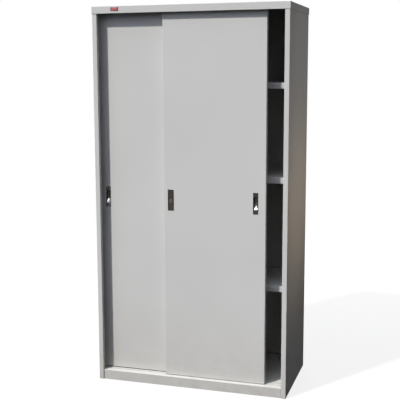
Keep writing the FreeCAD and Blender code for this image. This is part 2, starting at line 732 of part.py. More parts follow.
def roller(label, across, lane):
    """Nylon wheel with a hub that keeps it in the middle of the carrier."""
    piece = new_piece(label)
    carrier_inside = d.door_thickness / 2 - d.door_sheet - d.carrier_sheet
    hub, rim = carrier_inside - d.roller_side_gap, d.roller_width / 2
    bore = d.axle_radius + d.running_gap
    profile = [
        (-hub, bore), (-hub, d.roller_hub_radius), (-rim, d.roller_hub_radius), (-rim, d.roller_radius),
        (rim, d.roller_radius), (rim, d.roller_hub_radius), (hub, d.roller_hub_radius), (hub, bore),
    ]
    turned(piece, profile, across, lane, axle_height)


def top_guides(place):
    """Two nylon blocks that run between the guide strips."""
    piece = new_piece(f"{place.name}_top_guides")
    half = lane_half - d.guide_side_gap
    right = place.left + d.door_width
    spans = (
        (place.left + d.guide_inset, place.left + d.guide_inset + d.guide_length),
        (right - d.guide_inset - d.guide_length, right - d.guide_inset),
    )
    outlines = [rectangle(near, far, place.lane - half, place.lane + half) for near, far in spans]
    prism(piece, "XY_Plane", door_top, door_top + d.guide_height, *outlines)


def finger_pull(label, across, face):
    """Plate with a recess whose lower end slopes out to the front."""
    piece = new_piece(label)
    middle, half_plate, half_recess = d.handle_height, d.plate_height / 2, d.recess_height / 2
    left, right = across - d.pull_width / 2, across + d.pull_width / 2
    low, high = middle - half_plate, middle + half_plate
    plate_face = face - d.plate_proud
    block(piece, left, right, plate_face, face, low, high)
    round_edges(piece, d.plate_corner, "y", (left, low), (left, high), (right, low), (right, high))
    cup_x, cup_z = d.recess_width / 2 + d.pull_wall, half_recess + d.pull_wall
    deep = plate_face + d.recess_depth
    block(piece, across - cup_x, across + cup_x, face, deep + d.pull_wall, middle - cup_z, middle + cup_z)
    foot = middle - half_recess
    prism(piece, "YZ_Plane", across - d.recess_width / 2, across + d.recess_width / 2, [
        (plate_face, foot), (deep, foot + d.recess_slope), (deep, middle + half_recess),
        (plate_face, middle + half_recess),
    ], cut=True)


# ------------------------------------------------------------------ lock

def lock_plate():
    """Plain plate round the lock."""
    piece = new_piece("lock_plate")
    left, right = lock_x - d.lock_plate_width / 2, lock_x + d.lock_plate_width / 2
    low, high = d.handle_height - d.plate_height / 2, d.handle_height + d.plate_height / 2
    block(piece, left, right, door_face - d.plate_proud, door_face, low, high)
    round_edges(piece, d.plate_corner, "y", (left, low), (left, high), (right, low), (right, high))
    hole = circle(lock_x, lock_height, d.lock_face_radius + d.running_gap)
    prism(piece, "XZ_Plane", door_face - d.plate_proud, door_face, hole, cut=True)


def lock_body():
    """Barrel housing, held by a flange behind the door sheet."""
    piece = new_piece("lock_body")
    bore, sheet_back = d.cylinder_radius + d.running_gap, d.door_sheet
    flange_back = sheet_back + d.lock_flange_thickness
    turned(piece, [
        (-d.lock_face_proud, bore), (-d.lock_face_proud, d.lock_face_radius),
        (sheet_back, d.lock_face_radius), (sheet_back, d.lock_flange_radius),
        (flange_back, d.lock_flange_radius),
        (flange_back, d.lock_barrel_radius), (d.lock_barrel_depth, d.lock_barrel_radius),
        (d.lock_barrel_depth, bore),
    ], lock_x, door_face, lock_height)


def lock_cylinder():
    """Turning plug with its key slot in front and its spindle behind."""
    piece = new_piece("lock_cylinder")
    shoulder = d.lock_barrel_depth
    tip = d.door_thickness + d.cam_gap + d.cam_thickness + d.nut_thickness
    turned(piece, [
        (-d.cylinder_proud, ZERO), (-d.cylinder_proud, d.cylinder_radius), (shoulder, d.cylinder_radius),
        (shoulder, d.spindle_radius), (tip, d.spindle_radius), (tip, ZERO),
    ], lock_x, door_face, lock_height)
    prism(piece, "XZ_Plane", -d.cylinder_proud, d.key_slot_depth - d.cylinder_proud, rectangle(
        -d.key_slot_width / 2, d.key_slot_width / 2, -d.key_slot_height / 2, d.key_slot_height / 2), cut=True)


def lock_cam():
    """Hooked arm on the spindle: upright when unlocked, it turns down to the left to lock."""
    piece = new_piece("lock_cam")
    near = door_face + d.door_thickness + d.cam_gap
    right, left, hook = lock_x + d.cam_half_width, lock_x - d.cam_half_width, lock_x - d.cam_hook_reach
    tip = lock_height + d.cam_length
    hook_low, tail = tip - d.cam_hook_width, lock_height - d.cam_tail
    arm = [(right, tail), (right, tip), (hook, tip), (hook, hook_low), (left, hook_low), (left, tail)]
    prism(piece, "XZ_Plane", near, near + d.cam_thickness, arm, circle(lock_x, lock_height, d.spindle_radius))


def lock_nut():
    """Nut that holds the cam."""
    piece = new_piece("lock_nut")
    near = door_face + d.door_thickness + d.cam_gap + d.cam_thickness
    prism(piece, "XZ_Plane", near, near + d.nut_thickness,
          circle(lock_x, lock_height, d.nut_radius), circle(lock_x, lock_height, d.spindle_radius))


def keeper():
    """Upstand on the rear door, just left of the turned hook when both doors are closed."""
    piece = new_piece("lock_keeper")
    face = REAR_DOOR.face
    right = closed_lock_x - d.cam_length - d.keeper_gap
    # the foot is as long as its own size, or longer where the hook stands past the edge of the door
    foot = smaller(right, REAR_DOOR.left + d.door_width) - d.keeper_foot
    high = lock_height - d.keeper_top
    prism(piece, "XY_Plane", high - d.keeper_height, high, [
        (foot, face), (right, face), (right, face - d.keeper_reach),
        (right - d.keeper_tab, face - d.keeper_reach), (right - d.keeper_tab, face - d.keeper_sheet),
        (foot, face - d.keeper_sheet),
    ])


# ------------------------------------------------------------------ assembly

side_panel("left_side_panel", -1)
side_panel("right_side_panel", 1)
front_post("left_front_post", -1)
front_post("right_front_post", 1)
back_panel()
back_screws()
top_cap()
badge()
front_header()
top_track()
guide_strip("front_guide_strip", front_lane - lane_half - d.track_sheet)
guide_strip("middle_guide_strip", front_lane + lane_half)
guide_strip("rear_guide_strip", rear_lane + lane_half)
base_tray()
floor_stiffener()
bottom_track()
bumpers("left_bumpers", -1)
bumpers("right_bumpers", 1)

for side_name, side in (("left", -1), ("right", 1)):
    upright(f"{side_name}_front_upright", side, front_upright)
    upright(f"{side_name}_rear_upright", side, rear_upright)
for shelf_name, shelf_height in (
    ("top_shelf", d.top_shelf_height),
    ("middle_shelf", d.middle_shelf_height),
    ("bottom_shelf", d.bottom_shelf_height),
):
    shelf(shelf_name, shelf_height)
    shelf_clips(f"{shelf_name}_clips", shelf_height)

front_pull_x = FRONT_DOOR.left + d.door_width - d.front_pull_inset
rear_pull_x = REAR_DOOR.left + d.rear_pull_inset
door(FRONT_DOOR, front_pull_x, lock=True)
door(REAR_DOOR, rear_pull_x)
for place in (FRONT_DOOR, REAR_DOOR):
    brace(place)
    roller_carrier(place)
    axles(place)
    top_guides(place)
    for side_name, across in zip(("left", "right"), roller_x(place)):
        roller(f"{place.name}_{side_name}_roller", across, place.lane)
finger_pull("front_door_pull", front_pull_x, FRONT_DOOR.face)
finger_pull("rear_door_pull", rear_pull_x, REAR_DOOR.face)
lock_plate()
lock_body()
lock_cylinder()
lock_cam()
lock_nut()
keeper()

# ------------------------------------------------------------------ checks and files

doc.recompute()
faults = [item.Name for item in doc.Objects if "Invalid" in item.State or "Error" in item.State]
faults += [piece.Label for piece in PIECES if piece.Shape.isNull() or not piece.Shape.isValid()]
if faults:
    raise RuntimeError(f"failed objects: {faults}")

os.makedirs("parts", exist_ok=True)
whole = FreeCAD.BoundBox()
for piece in PIECES:
    piece.Shape.exportStep(os.path.join("parts", f"{piece.Label}.step"))
    whole.add(piece.Shape.BoundBox)
    print(f"{piece.Label}: {len(piece.Shape.Solids)} solids, {piece.Shape.Volume / 1000:.1f} cm3")
print(f"{len(PIECES)} nodes, {whole.XLength:.1f} x {whole.YLength:.1f} x {whole.ZLength:.1f} mm")
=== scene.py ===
# %% [markdown]
# # A sliding door cabinet in powder-coated steel
# The cabinet is folded from thin steel sheet, and its two doors pass each other on nylon rollers.
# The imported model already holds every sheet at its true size, so this lesson leaves those meshes
# alone. It adds what a plain solid lacks: paint, plating, pressed plates, light and a camera.
# Lengths are in metres unless a name says `mm`. +X is to the right, the doors face -Y, +Z is up.

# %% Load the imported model
import json
import math

import bpy
import numpy as np
from mathutils import Matrix, Vector


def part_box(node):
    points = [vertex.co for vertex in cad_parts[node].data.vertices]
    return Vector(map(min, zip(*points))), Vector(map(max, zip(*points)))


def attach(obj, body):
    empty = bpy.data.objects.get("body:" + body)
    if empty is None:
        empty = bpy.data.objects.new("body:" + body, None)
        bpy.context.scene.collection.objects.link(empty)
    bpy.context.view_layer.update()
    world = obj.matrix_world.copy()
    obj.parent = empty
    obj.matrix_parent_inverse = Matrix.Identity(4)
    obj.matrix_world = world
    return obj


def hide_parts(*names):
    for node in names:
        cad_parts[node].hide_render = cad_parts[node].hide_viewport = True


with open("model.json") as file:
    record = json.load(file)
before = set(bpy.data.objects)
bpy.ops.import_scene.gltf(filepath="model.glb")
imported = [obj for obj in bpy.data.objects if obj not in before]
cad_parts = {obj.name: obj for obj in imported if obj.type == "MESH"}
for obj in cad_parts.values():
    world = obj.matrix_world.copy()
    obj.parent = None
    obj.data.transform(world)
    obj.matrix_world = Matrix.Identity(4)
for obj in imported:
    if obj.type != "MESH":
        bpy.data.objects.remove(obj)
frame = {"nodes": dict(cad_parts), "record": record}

scene = bpy.context.scene
scene.view_settings.view_transform = "Standard"
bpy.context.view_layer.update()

# %% [markdown]
# ## The camera
# A tall cabinet is usually pictured from eye height, a few steps away and a little to one side, so
# that its front and one side show. A lens of about 76 mm keeps the tall edges nearly parallel. The
# camera could be aimed with a Track To constraint, but three angles written as numbers say exactly
# how it stands: turned left, tilted down, and hardly rolled. A small shift moves the frame, as a
# view camera's rising front does, without turning the lens.

# %% Place the camera
PICTURE_PIXELS = 400
SENSOR_MM = 36.0
LENS_PIXELS = 847.03
LENS_CENTRE = (185.61, 197.63)           # pixels from the left and from the top
CAMERA_PLACE = (1.1794, -3.9997, 1.5382)
TURNED_LEFT, TILTED_UP, ROLLED = (math.radians(angle) for angle in (17.62, -8.65, -0.33))


def camera_axes(turned_left, tilted_up, rolled):
    """Right, up and backward axes of a camera that starts out looking along +Y."""
    forward = np.array([
        -math.sin(turned_left) * math.cos(tilted_up),
        math.cos(turned_left) * math.cos(tilted_up),
        math.sin(tilted_up),
    ])
    level = np.cross(forward, (0, 0, 1))
    level /= np.linalg.norm(level)
    rise = np.cross(level, forward)
    right = level * math.cos(rolled) + rise * math.sin(rolled)
    up = rise * math.cos(rolled) - level * math.sin(rolled)
    return np.stack([right, up, -forward], axis=1)


lens = bpy.data.cameras.new("product_camera")
lens.sensor_width = SENSOR_MM
lens.lens = LENS_PIXELS * SENSOR_MM / PICTURE_PIXELS
lens.shift_x = 0.5 - LENS_CENTRE[0] / PICTURE_PIXELS
lens.shift_y = LENS_CENTRE[1] / PICTURE_PIXELS - 0.5
camera = bpy.data.objects.new("product_camera", lens)
turn = Matrix(camera_axes(TURNED_LEFT, TILTED_UP, ROLLED).tolist()).to_4x4()
camera.matrix_world = Matrix.Translation(CAMERA_PLACE) @ turn
scene.collection.objects.link(camera)
scene.camera = camera
print(f"lens {lens.lens:.1f} mm, shift {lens.shift_x:.4f}, {lens.shift_y:.4f}")

# %% [markdown]
# ## Helpers: colours and nodes
# Colours are written as the sRGB hex values that a paint chart gives, and one function turns them
# to the linear values that Blender works with. Another adds a shader node together with its
# settings and links, so that a material reads as a short list of what feeds what. Four more use it
# for what nearly every material needs: noise, a stretched range, a mix of two colours and a bump.
# They give some inputs by number, because a node can have several inputs of one name.

# %% Colours and nodes
def paint(code):
    """Linear colour, with alpha, of an sRGB hex value such as #C4C4C2."""
    shares = np.array([int(code[place:place + 2], 16) for place in (1, 3, 5)]) / 255
    linear = np.where(shares <= 0.04045, shares / 12.92, ((shares + 0.055) / 1.055) ** 2.4)
    return (*linear.tolist(), 1.0)


def add(tree, kind, inputs=None, **settings):
    """Adds a node. `settings` are its own properties; `inputs` gives a socket a value or a link."""
    node = tree.nodes.new(kind)
    for name, value in settings.items():
        setattr(node, name, value)
    for socket, value in (inputs or {}).items():
        if isinstance(value, bpy.types.NodeSocket):
            tree.links.new(value, node.inputs[socket])
        else:
            node.inputs[socket].default_value = value
    return node


def noise(tree, place, scale, detail, **more):
    """Link to a cloudy value from 0 to 1, with about `scale` clouds in a metre."""
    sockets = {"Vector": place, "Scale": scale, "Detail": detail, **more}
    return add(tree, "ShaderNodeTexNoise", sockets).outputs["Fac"]


def spread(tree, value, start, end, least=0.0, most=1.0):
    """Link to `value`, stretched so that `start` becomes `least` and `end` becomes `most`."""
    sockets = {0: value, 1: start, 2: end, 3: least, 4: most}
    return add(tree, "ShaderNodeMapRange", sockets).outputs[0]


def mix(tree, share, first, second):
    """Link to the colour at that share of the way from the first colour to the second."""
    return add(tree, "ShaderNodeMix", {0: share, 6: first, 7: second}, data_type="RGBA").outputs[2]


def bump(tree, strength, distance, height, **more):
    """Link to a normal, tilted as a relief would tilt it whose `height` of 1 is `distance`."""
    sockets = {"Strength": strength, "Distance": distance, "Height": height, **more}
    return add(tree, "ShaderNodeBump", sockets).outputs["Normal"]


def empty_material(name):
    """A material with nothing in its node tree yet, and that tree."""
    made = bpy.data.materials.new(name)
    made.use_nodes = True
    made.node_tree.nodes.clear()
    return made, made.node_tree


NOISE_RANGE = (0.3, 0.7)                 # most values of a noise lie in here
print("light grey paint, linear:", [round(share, 3) for share in paint("#C4C4C2")])

# %% [markdown]
# ## The light
# The key lamp is small and far away at the upper left, as a sun is: it draws the shadow bands below
# the cap and beside the left post. A Sun lamp gives parallel light, so both bands are as wide as
# the steps of the cabinet make them. A second Sun with a very wide angle stands for a large pale
# soft box round the key. It fills the shade from the same side, so a band is darkest close to the
# edge that throws it. A third, weak Sun from the right reaches the shade behind the left post, and
# comes in too far from the side to brighten the back panel that shows through the opening. Two
# weak spots at the right and a square box behind light the faces that all three miss: the lower
# spot is warm, like light that comes back from a wooden floor.

# %% Hang the lamps
KEY_DIRECTION = (-0.396, -0.609, 0.688)  # from the cabinet to the lamp
KEY_STRENGTH = 3.30
KEY_ANGLE = math.radians(3)
SKY_DIRECTION = (-0.50, -0.62, 0.60)
SKY_STRENGTH = 1.71
SKY_ANGLE = math.radians(76)
FILL_DIRECTION = (0.48, -0.77, 0.42)
FILL_STRENGTH = 0.30
FILL_ANGLE = math.radians(30)
SPOT_X, SPOT_Y = 2.0, 0.3                # both spots hang here, to the right of the cabinet
SPOT_RADIUS = 0.3
SIDE_X = 0.47                            # the right side of the cabinet, which they light
SIDE_CONE, WARM_CONE = math.radians(62), math.radians(40)
SIDE_WATTS, WARM_WATTS, REAR_WATTS = 14.8, 23.0, 48.0
BACK_MIDDLE = (0.0, 0.24, 0.9)


def hang(name, kind, place, toward, strength, colour, **settings):
    """A lamp at `place` whose light falls from there to the point `toward`."""
    lamp = bpy.data.lights.new(name, kind)
    lamp.energy = strength
    lamp.color = paint(colour)[:3]
    for setting, value in settings.items():
        setattr(lamp, setting, value)
    holder = bpy.data.objects.new(name, lamp)
    holder.location = place
    holder.rotation_euler = (Vector(place) - Vector(toward)).to_track_quat("Z", "Y").to_euler()
    holder.visible_camera = False
    scene.collection.objects.link(holder)
    print(f"{name}: {kind.lower()} lamp, {strength} at {colour}")


hang("key_lamp", "SUN", KEY_DIRECTION, (0, 0, 0), KEY_STRENGTH, "#FFFBF4", angle=KEY_ANGLE)
hang("sky_box", "SUN", SKY_DIRECTION, (0, 0, 0), SKY_STRENGTH, "#E5ECFF", angle=SKY_ANGLE)
hang("right_fill", "SUN", FILL_DIRECTION, (0, 0, 0), FILL_STRENGTH, "#F2F4FF", angle=FILL_ANGLE)
hang("side_spot", "SPOT", (SPOT_X, SPOT_Y, 1.75), (SIDE_X, 0.0, 1.42), SIDE_WATTS, "#FFF9F2",
     spot_size=SIDE_CONE, spot_blend=0.9, shadow_soft_size=SPOT_RADIUS)
hang("warm_spot", "SPOT", (SPOT_X, SPOT_Y, 0.95), (SIDE_X, 0.0, 0.88), WARM_WATTS, "#FFE2BC",
     spot_size=WARM_CONE, spot_blend=1.0, shadow_soft_size=SPOT_RADIUS)
hang("rear_box", "AREA", (-0.3, 3.1, 2.2), BACK_MIDDLE, REAR_WATTS, "#FFFFFF", size=1.6)

# %% [markdown]
# ## Air and floor
# The air round the cabinet is white for the camera and for reflections, which gives the white
# background, while it gives the surfaces only a little light. The floor works in the same way and
# keeps the shadow of the cabinet: its mix of glow and matt paint never falls to black.

# %% Fill the studio
AIR_LIGHT = 0.013
FLOOR_REACH = 14.0
FLOOR_DROP = 0.0005                      # keeps the floor clear of the cabinet's lower edges
FLOOR_GLOW = 0.82                        # share of glow in the floor that the camera sees
GLOW_STRENGTH = 1.03


def seen_directly(tree):
    """1 for what the camera, a reflection or glass looks at, and 0 for light on a surface."""
    rays = add(tree, "ShaderNodeLightPath").outputs
    sharp = add(tree, "ShaderNodeMath", {0: rays["Is Camera Ray"], 1: rays["Is Glossy Ray"]},
                operation="MAXIMUM")
    through = {0: sharp.outputs[0], 1: rays["Is Transmission Ray"]}
    return add(tree, "ShaderNodeMath", through, operation="MAXIMUM").outputs[0]


air = bpy.data.worlds.new("studio_air")
air.use_nodes = True
tree = air.node_tree
tree.nodes.clear()
fill = add(tree, "ShaderNodeBackground", {"Color": paint("#E4ECF8"), "Strength": AIR_LIGHT})
white = add(tree, "ShaderNodeBackground", {"Color": (1, 1, 1, 1), "Strength": 1.0})
blend = add(tree, "ShaderNodeMixShader",
            {0: seen_directly(tree), 1: fill.outputs[0], 2: white.outputs[0]})
add(tree, "ShaderNodeOutputWorld", {"Surface": blend.outputs[0]})
scene.world = air

# %% [markdown]
# ## A mesh from a grid of points
# Every new piece below is a surface worked out with numpy. Its points lie on a grid: one row for
# each step along the piece, one column for each step round it. Joining each point to its three
# neighbours gives the faces, all in one array. A spin or a lathe modifier could turn simple parts,
# but a grid also makes a recess with a scooped end, with no modifier left on the piece.

# %% Grid to mesh
def surface(name, grid, round_columns=True, round_rows=False):
    """Mesh through grid[copy, row, column] of points. `round_columns` joins the last column to the
    first, and `round_rows` the last row to the first. Where only the columns are joined, a fan of
    triangles closes each end row."""
    copies, rows, columns = grid.shape[:3]
    number = np.arange(copies * rows * columns).reshape(copies, rows, columns)
    if round_rows:
        lower, upper = number, np.roll(number, -1, axis=1)
    else:
        lower, upper = number[:, :-1], number[:, 1:]
    corners = [lower, np.roll(lower, -1, axis=2), np.roll(upper, -1, axis=2), upper]
    quads = np.stack(corners, axis=-1)
    if not round_columns:
        quads = quads[:, :, :-1]
    faces = quads.reshape(-1, 4).tolist()
    points = grid.reshape(-1, 3)
    if round_columns and not round_rows:
        poles = np.stack([grid[:, 0].mean(axis=1), grid[:, -1].mean(axis=1)], axis=1)
        pole = len(points) + np.arange(copies * 2).reshape(copies, 2, 1) + np.zeros(columns, int)
        first, last = number[:, 0], number[:, -1]
        for fan in ((np.roll(first, -1, axis=1), first, pole[:, 0]),
                    (last, np.roll(last, -1, axis=1), pole[:, 1])):
            faces += np.stack(fan, axis=-1).reshape(-1, 3).tolist()
        points = np.vstack([points, poles.reshape(-1, 3)])
    mesh = bpy.data.meshes.new(name)
    mesh.from_pydata(points.tolist(), [], faces)
    mesh.polygons.foreach_set("use_smooth", np.ones(len(faces), bool))
    piece = bpy.data.objects.new(name, mesh)
    scene.collection.objects.link(piece)
    print(f"{name}: {len(points)} points, {len(faces)} faces")
    return piece


across = np.linspace(-FLOOR_REACH, FLOOR_REACH, 9)
floor_x, floor_y = np.meshgrid(across, across)
sheet = np.stack([floor_x, floor_y, np.full_like(floor_x, -FLOOR_DROP)], axis=-1)
floor = surface("studio_floor", sheet[None], round_columns=False)

matt_floor, tree = empty_material("matt_studio_floor")
shown = add(tree, "ShaderNodeBsdfDiffuse", {"Color": paint("#F2F2F0")})
glow = add(tree, "ShaderNodeEmission", {"Color": (1, 1, 1, 1), "Strength": GLOW_STRENGTH})
pale = add(tree, "ShaderNodeMixShader", {0: FLOOR_GLOW, 1: shown.outputs[0], 2: glow.outputs[0]})
dim = add(tree, "ShaderNodeBsdfDiffuse", {"Color": paint("#1F1D1A")})
blend = add(tree, "ShaderNodeMixShader",
            {0: seen_directly(tree), 1: dim.outputs[0], 2: pale.outputs[0]})
add(tree, "ShaderNodeOutputMaterial", {"Surface": blend.outputs[0]})
floor.data.materials.append(matt_floor)

# %% [markdown]
# ## Light grey powder coat
# The panels and doors are sprayed with dry polyester powder and baked, which leaves a satin film
# of about 0.08 mm with a faint orange peel. To the eye it is a plain light grey whose gloss is
# broad and soft. The film is thinner and paler on folded edges, and its tone drifts a little over
# half a metre. Towards the floor it darkens and warms in blotches: scuffs, together with painted
# shade that deepens lower down. Faces that look up, such as the ledge below the doors, are painted
# paler as light from above. The peel is really under 1 mm across and is drawn at 3 mm, so that it
# still shows in a picture of the whole cabinet. The Bevel node rounds the light at the edges as the
# bends of the sheet do.

# %% Mix the powder coat
TONE_DRIFT = 0.45                        # size of a pale or dark cloud in the film
PEEL_MM = 3.0
SCUFF_AND_SHADE_HEIGHT = 0.70                      # scuffs and painted shade thin out and end about here above the floor
SCUFF_AND_SHADE_POWER = 3.0                        # more than 1 gathers them close to the floor
EDGE_RADIUS = 0.0012
TOPLIGHT_PALENESS = 0.62                         # share of painted light on faces that look up
EDGE_PALENESS = 0.55                     # share of the thin film's colour on an edge
COAT_BLUR = (0.62, 0.74)                 # roughness of the film

powder_coat, tree = empty_material("light_grey_powder_coat")
place = add(tree, "ShaderNodeTexCoord").outputs["Object"]
cloud = spread(tree, noise(tree, place, 1 / TONE_DRIFT, 2.0), 0.35, 0.65)
film = mix(tree, cloud, paint("#C2C2C0"), paint("#C6C6C4"))

# Painted shade with scuff blotches: the film is mixed darker and warmer towards the floor.
height = add(tree, "ShaderNodeSeparateXYZ", {0: place}).outputs["Z"]
lower = spread(tree, height, SCUFF_AND_SHADE_HEIGHT, 0.0)
near_floor = add(tree, "ShaderNodeMath", {0: lower, 1: SCUFF_AND_SHADE_POWER}, operation="POWER")
patch = noise(tree, place, 16.0, 6.0, Roughness=0.65)
blotches = spread(tree, patch, 0.38, 0.70, 0.40, 0.70)
scuffs_and_low_shade = add(tree, "ShaderNodeMath", {0: near_floor.outputs[0], 1: blotches}, operation="MULTIPLY")
film = mix(tree, scuffs_and_low_shade.outputs[0], film, paint("#A9A59B"))

facing = add(tree, "ShaderNodeNewGeometry").outputs
# Painted light: faces that look up are mixed towards a pale grey, as if lit from above.
looks_up = add(tree, "ShaderNodeSeparateXYZ", {0: facing["True Normal"]}).outputs["Z"]
painted_toplight = spread(tree, looks_up, 0.6, 1.0, 0.0, TOPLIGHT_PALENESS)
film = mix(tree, painted_toplight, film, paint("#EAEBE8"))

round_edge = add(tree, "ShaderNodeBevel", {"Radius": EDGE_RADIUS}, samples=4).outputs["Normal"]
same = add(tree, "ShaderNodeVectorMath", {0: round_edge, 1: facing["True Normal"]},
           operation="DOT_PRODUCT")
edge = spread(tree, same.outputs["Value"], 0.99, 0.80, 0.0, EDGE_PALENESS)
film = mix(tree, edge, film, paint("#D2D2CF"))

peel = noise(tree, place, 1000 / PEEL_MM, 2.0)
coat_shader = add(tree, "ShaderNodeBsdfPrincipled", {
    "Base Color": film, "Roughness": spread(tree, patch, *NOISE_RANGE, *COAT_BLUR),
    "Specular IOR Level": 0.03, "Normal": bump(tree, 0.22, 0.0002, peel, Normal=round_edge)})
add(tree, "ShaderNodeOutputMaterial", {"Surface": coat_shader.outputs[0]})
print("powder coat:", len(tree.nodes), "nodes")

# %% [markdown]
# ## Zinc-plated steel
# Tracks, clips, carriers and screws are bright zinc plate with a clear passivation: a cool silver
# that is blurred, with fine lines left by rolling the strip. The lines run along X, as the tracks
# do. They are really about 0.1 mm wide and are drawn at 1.5 mm. Handling leaves duller patches of
# a few centimetres, which the roughness shows more than the colour does.

# %% Plate with zinc
ROLLING_LINE_MM = 1.5
PATCH_SIZE = 0.03
ZINC_BLUR = (0.30, 0.52)

zinc_plate, tree = empty_material("zinc_plated_steel")
place = add(tree, "ShaderNodeTexCoord").outputs["Object"]
drawn_out = add(tree, "ShaderNodeMapping", {"Vector": place, "Scale": (0.02, 1.0, 1.0)}).outputs[0]
lines = noise(tree, drawn_out, 1000 / ROLLING_LINE_MM, 3.0)
dull = noise(tree, place, 1 / PATCH_SIZE, 4.0)
zinc_shader = add(tree, "ShaderNodeBsdfPrincipled", {
    "Base Color": mix(tree, dull, paint("#A9AFB3"), paint("#C9CCCD")), "Metallic": 1.0,
    "Roughness": spread(tree, dull, *NOISE_RANGE, *ZINC_BLUR),
    "Normal": bump(tree, 0.15, 0.0001, lines)})
add(tree, "ShaderNodeOutputMaterial", {"Surface": zinc_shader.outputs[0]})
print("zinc plate:", len(tree.nodes), "nodes")

# %% [markdown]
# ## Black nickel
# The finger pulls, the plate of the lock and the frame of the badge are pressed from steel and
# plated with black nickel, a warm near-black metal with a soft mirror. Their up and down brushing
# is drawn at 0.8 mm. In the scoops the black layer turns to bright nickel: partly wear where fingers
# slide the door, partly a painted glint where the scoop catches the light. Each pull carries that
# share as an attribute of its points, so it follows the scoop and moves with the door. A piece
# without the attribute stays black.

# %% Plate with black nickel
BRUSH_LINE_MM = 0.8
RAGGEDNESS = 0.35                        # how unevenly the worn and glinting nickel begins
WEAR_AND_GLINT_RANGE = (0.42, 0.66)              # from the first bright specks to full bright nickel
NICKEL_BLUR = (0.24, 0.36)

black_nickel, tree = empty_material("black_nickel_plate")
place = add(tree, "ShaderNodeTexCoord").outputs["Object"]
drawn_out = add(tree, "ShaderNodeMapping", {"Vector": place, "Scale": (1.0, 1.0, 0.03)}).outputs[0]
lines = noise(tree, drawn_out, 1000 / BRUSH_LINE_MM, 2.0)
prints = noise(tree, place, 90.0, 5.0, Roughness=0.6)
dark = mix(tree, prints, paint("#37332F"), paint("#47423C"))
# Bright nickel where the attribute is high: wear, a painted glint in the scoops, and painted light
# on the rear plate.
wear_and_glint_share = add(tree, "ShaderNodeAttribute", attribute_name="finger_wear_and_glint").outputs["Fac"]
ragged = add(tree, "ShaderNodeMath", {0: prints, 1: RAGGEDNESS, 2: wear_and_glint_share},
             operation="MULTIPLY_ADD")
bright_nickel_share = spread(tree, ragged.outputs[0], *WEAR_AND_GLINT_RANGE)
nickel_shader = add(tree, "ShaderNodeBsdfPrincipled", {
    "Base Color": mix(tree, bright_nickel_share, dark, paint("#F6F7FA")), "Metallic": 1.0,
    "Roughness": spread(tree, prints, *NOISE_RANGE, *NICKEL_BLUR),
    "Normal": bump(tree, 0.12, 0.0001, lines)})
add(tree, "ShaderNodeOutputMaterial", {"Surface": nickel_shader.outputs[0]})
print("black nickel:", len(tree.nodes), "nodes")

# %% [markdown]
# ## Satin nickel of the lock
# The lock is cast in zinc alloy, turned and nickel plated. Keys and fingers leave it grey and
# slightly dull, with fine scratches round the key slot. The Mapping node puts the middle of a ring
# pattern on the axis of the lock, which gives its turned face a faint and broad rise and fall.

# %% Plate the lock
RING_GAP_MM = 5.655
WAVE_RADIANS = 20                        # turn of a Wave texture over a metre, at a scale of 1
LOCK_BLUR = (0.28, 0.45)
lock_low, lock_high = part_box("lock_cylinder")
lock_axis = (lock_low + lock_high) / 2
print(f"lock axis at x {lock_axis.x * 1000:.1f}, z {lock_axis.z * 1000:.1f} mm")

satin_nickel, tree = empty_material("satin_nickel_plate")
place = add(tree, "ShaderNodeTexCoord").outputs["Object"]
centred = add(tree, "ShaderNodeMapping", {
    "Vector": place, "Location": (-lock_axis.x, 0.0, -lock_axis.z)}).outputs[0]
ring_scale = 2 * math.pi / WAVE_RADIANS * 1000 / RING_GAP_MM
rings = add(tree, "ShaderNodeTexWave", {"Vector": centred, "Scale": ring_scale, "Distortion": 0.4},
            wave_type="RINGS", rings_direction="Y")
scratch = noise(tree, centred, 700.0, 5.0, Distortion=1.5)
lock_shader = add(tree, "ShaderNodeBsdfPrincipled", {
    "Base Color": mix(tree, scratch, paint("#4A4540"), paint("#6E6861")), "Metallic": 1.0,
    "Roughness": spread(tree, scratch, *NOISE_RANGE, *LOCK_BLUR),
    "Normal": bump(tree, 0.10, 0.0001, rings.outputs["Fac"])})
add(tree, "ShaderNodeOutputMaterial", {"Surface": lock_shader.outputs[0]})

# %% [markdown]
# ## Nylon and rubber
# Rollers and top guides are moulded in natural polyamide, a milky off-white that lets a little
# light in, so its shadows are soft. Flow from the mould leaves faint clouds of about a centimetre.
# The bumpers are black rubber: nearly no gloss, and a dusty bloom that makes them charcoal grey.
# The same rubber makes the strips below the doors, which are painted shade for the gaps there.

# %% Mould the nylon and the rubber
NYLON_BLUR = (0.38, 0.52)
RUBBER_BLUR = (0.72, 0.88)
LIGHT_DEPTHS = (0.003, 0.0025, 0.002)    # how far red, green and blue light wander in the nylon

natural_nylon, tree = empty_material("natural_nylon")
place = add(tree, "ShaderNodeTexCoord").outputs["Object"]
flow = noise(tree, place, 100.0, 3.0)
grain = noise(tree, place, 1600.0, 2.0)
nylon_shader = add(tree, "ShaderNodeBsdfPrincipled", {
    "Base Color": mix(tree, flow, paint("#DAD5C4"), paint("#ECE9DE")), "IOR": 1.53,
    "Roughness": spread(tree, grain, *NOISE_RANGE, *NYLON_BLUR),
    "Subsurface Weight": 0.15, "Subsurface Radius": LIGHT_DEPTHS, "Subsurface Scale": 1.0,
    "Normal": bump(tree, 0.1, 0.0001, grain)})
add(tree, "ShaderNodeOutputMaterial", {"Surface": nylon_shader.outputs[0]})

black_rubber, tree = empty_material("black_bumper_rubber")
place = add(tree, "ShaderNodeTexCoord").outputs["Object"]
bloom = noise(tree, place, 220.0, 5.0, Roughness=0.7)
rubber_shader = add(tree, "ShaderNodeBsdfPrincipled", {
    "Base Color": mix(tree, bloom, paint("#161514"), paint("#2B2927")),
    "Roughness": spread(tree, bloom, *NOISE_RANGE, *RUBBER_BLUR), "Specular IOR Level": 0.15,
    "Normal": bump(tree, 0.25, 0.0002, bloom)})
add(tree, "ShaderNodeOutputMaterial", {"Surface": rubber_shader.outputs[0]})

